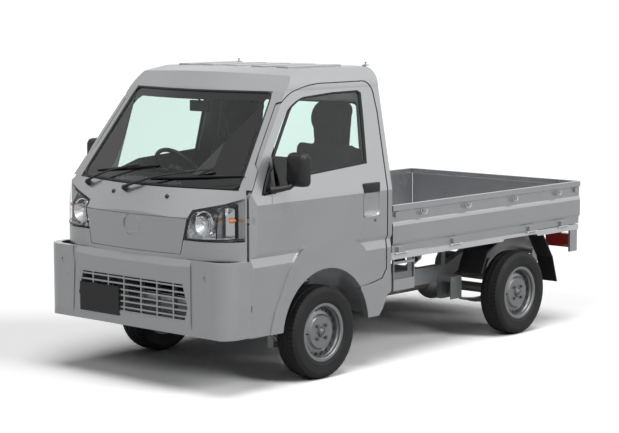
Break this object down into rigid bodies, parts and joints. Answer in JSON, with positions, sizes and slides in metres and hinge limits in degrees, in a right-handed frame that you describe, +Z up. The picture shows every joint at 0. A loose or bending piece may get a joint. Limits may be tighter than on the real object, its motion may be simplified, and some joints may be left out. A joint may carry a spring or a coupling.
{
  "type": "kei truck",
  "caption": "Small forward-control pickup with a two-seat hollow cab, opening doors, steering front wheels and a drop-side bed.",
  "frame": {"origin": "on the ground under the centre of the bounding box", "axes": "+X forward, +Y to the left, +Z up"},
  "size_m": [3.395, 1.784, 1.78],
  "materials": {
    "body_paint": "bright silver metallic gloss",
    "bed_paint": "silver paint, slightly worn",
    "frame_paint": "silver-grey chassis paint, satin",
    "hook_steel": "silver satin",
    "clear_glass": "clear green-tinted",
    "lamp_lens": "clear polycarbonate",
    "lamp_case": "bright reflector",
    "black_plastic": "grained",
    "interior_plastic": "grained",
    "seat_cloth": "woven",
    "plate_white": "blank",
    "tail_red": "gloss",
    "cast_metal": "as cast",
    "exhaust_steel": "dull",
    "tyre_rubber": "matte",
    "wheel_silver": "silver satin",
    "hub_steel": "dark zinc"
  },
  "bodies": {
    "chassis": {"bed_floor": "bed_paint", "bed_headboard": "body_paint", "body_brackets": "body_paint", "cab_back_panel": "body_paint", "cab_floor": "body_paint", "cab_glass": "clear_glass", "cab_nose": "body_paint", "cab_roof": "body_paint", "cab_side_frames": "body_paint", "cabin_fittings": "interior_plastic", "dashboard": "interior_plastic", "driveline": "cast_metal", "engine": "cast_metal", "exhaust": "exhaust_steel", "frame": "frame_paint", "front_bumper": "body_paint", "front_lid": "body_paint", "front_suspension": "frame_paint", "fuel_tank": "frame_paint", "headlamp_cases": "lamp_case", "headlamp_lenses": "lamp_lens", "lower_grille": "black_plastic", "mudguards": "black_plastic", "number_plates": "plate_white", "rack_housing": "frame_paint", "rear_axle": "frame_paint", "rear_bar": "frame_paint", "rear_suspension": "frame_paint", "roof_hooks": "hook_steel", "seat_backs": "seat_cloth", "seat_cushions": "seat_cloth", "tail_lamps": "tail_red", "wipers": "black_plastic"},
    "steering_rack": {"steering_rack": "frame_paint"},
    "steering_wheel": {"steering_wheel": "black_plastic"},
    "tailgate": {"tailgate": "body_paint"},
    "gate_left": {"gate_left": "body_paint"},
    "gate_right": {"gate_right": "body_paint"},
    "door_left": {"door_left": "body_paint", "door_glass_left": "clear_glass", "mirror_left": "black_plastic"},
    "knuckle_left": {"knuckle_left": "frame_paint"},
    "wheel_front_left": {"tyre_front_left": "tyre_rubber", "rim_front_left": "wheel_silver", "hub_front_left": "hub_steel"},
    "wheel_rear_left": {"tyre_rear_left": "tyre_rubber", "rim_rear_left": "wheel_silver", "hub_rear_left": "hub_steel"},
    "door_right": {"door_right": "body_paint", "door_glass_right": "clear_glass", "mirror_right": "black_plastic"},
    "knuckle_right": {"knuckle_right": "frame_paint"},
    "wheel_front_right": {"tyre_front_right": "tyre_rubber", "rim_front_right": "wheel_silver", "hub_front_right": "hub_steel"},
    "wheel_rear_right": {"tyre_rear_right": "tyre_rubber", "rim_rear_right": "wheel_silver", "hub_rear_right": "hub_steel"}
  },
  "joints": [
    {"name": "steer_left", "type": "hinge", "parent": "chassis", "child": "knuckle_left", "pos_m": [0.8815, 0.605, 0.165], "axis": [-0.0597, -0.2058, 0.9768], "range_deg": [-37, 37]},
    {"name": "steer_right", "type": "hinge", "parent": "chassis", "child": "knuckle_right", "pos_m": [0.8815, -0.605, 0.165], "axis": [-0.0597, 0.2058, 0.9768], "range_deg": [-37, 37]},
    {"name": "rack_slide", "type": "slide", "parent": "chassis", "child": "steering_rack", "axis": [0, 1, 0], "range_m": [-0.0711, 0.0711]},
    {"name": "steering_wheel_turn", "type": "hinge", "parent": "chassis", "child": "steering_wheel", "pos_m": [0.9645, -0.36, 1.122], "axis": [-0.809, 0, 0.5878], "range_deg": [-620, 620]},
    {"name": "wheel_front_left_spin", "type": "hinge", "parent": "knuckle_left", "child": "wheel_front_left", "pos_m": [0.8765, 0.6525, 0.268], "axis": [0, 1, 0], "continuous": true},
    {"name": "wheel_rear_left_spin", "type": "hinge", "parent": "chassis", "child": "wheel_rear_left", "pos_m": [-1.0235, 0.65, 0.268], "axis": [0, 1, 0], "continuous": true},
    {"name": "door_left_open", "type": "hinge", "parent": "chassis", "child": "door_left", "pos_m": [1.47, 0.7225, 0.7], "axis": [0, 0, -1], "range_deg": [0, 68]},
    {"name": "gate_left_drop", "type": "hinge", "parent": "chassis", "child": "gate_left", "pos_m": [-0.7, 0.7305, 0.654], "axis": [-1, 0, 0], "range_deg": [0, 178]},
    {"name": "wheel_front_right_spin", "type": "hinge", "parent": "knuckle_right", "child": "wheel_front_right", "pos_m": [0.8765, -0.6525, 0.268], "axis": [0, 1, 0], "continuous": true},
    {"name": "wheel_rear_right_spin", "type": "hinge", "parent": "chassis", "child": "wheel_rear_right", "pos_m": [-1.0235, -0.65, 0.268], "axis": [0, 1, 0], "continuous": true},
    {"name": "door_right_open", "type": "hinge", "parent": "chassis", "child": "door_right", "pos_m": [1.47, -0.7225, 0.7], "axis": [0, 0, 1], "range_deg": [0, 68]},
    {"name": "gate_right_drop", "type": "hinge", "parent": "chassis", "child": "gate_right", "pos_m": [-0.7, -0.7305, 0.654], "axis": [1, 0, 0], "range_deg": [0, 178]},
    {"name": "tailgate_drop", "type": "hinge", "parent": "chassis", "child": "tailgate", "pos_m": [-1.6905, 0, 0.654], "axis": [0, -1, 0], "range_deg": [0, 178]}
  ],
  "couplings": [
    {"joint": "steer_right", "follows": "steer_left", "ratio": 1},
    {"joint": "rack_slide", "follows": "steer_left", "m_per_rad": -0.11},
    {"joint": "steering_wheel_turn", "follows": "steer_left", "ratio": 16.5}
  ]
}
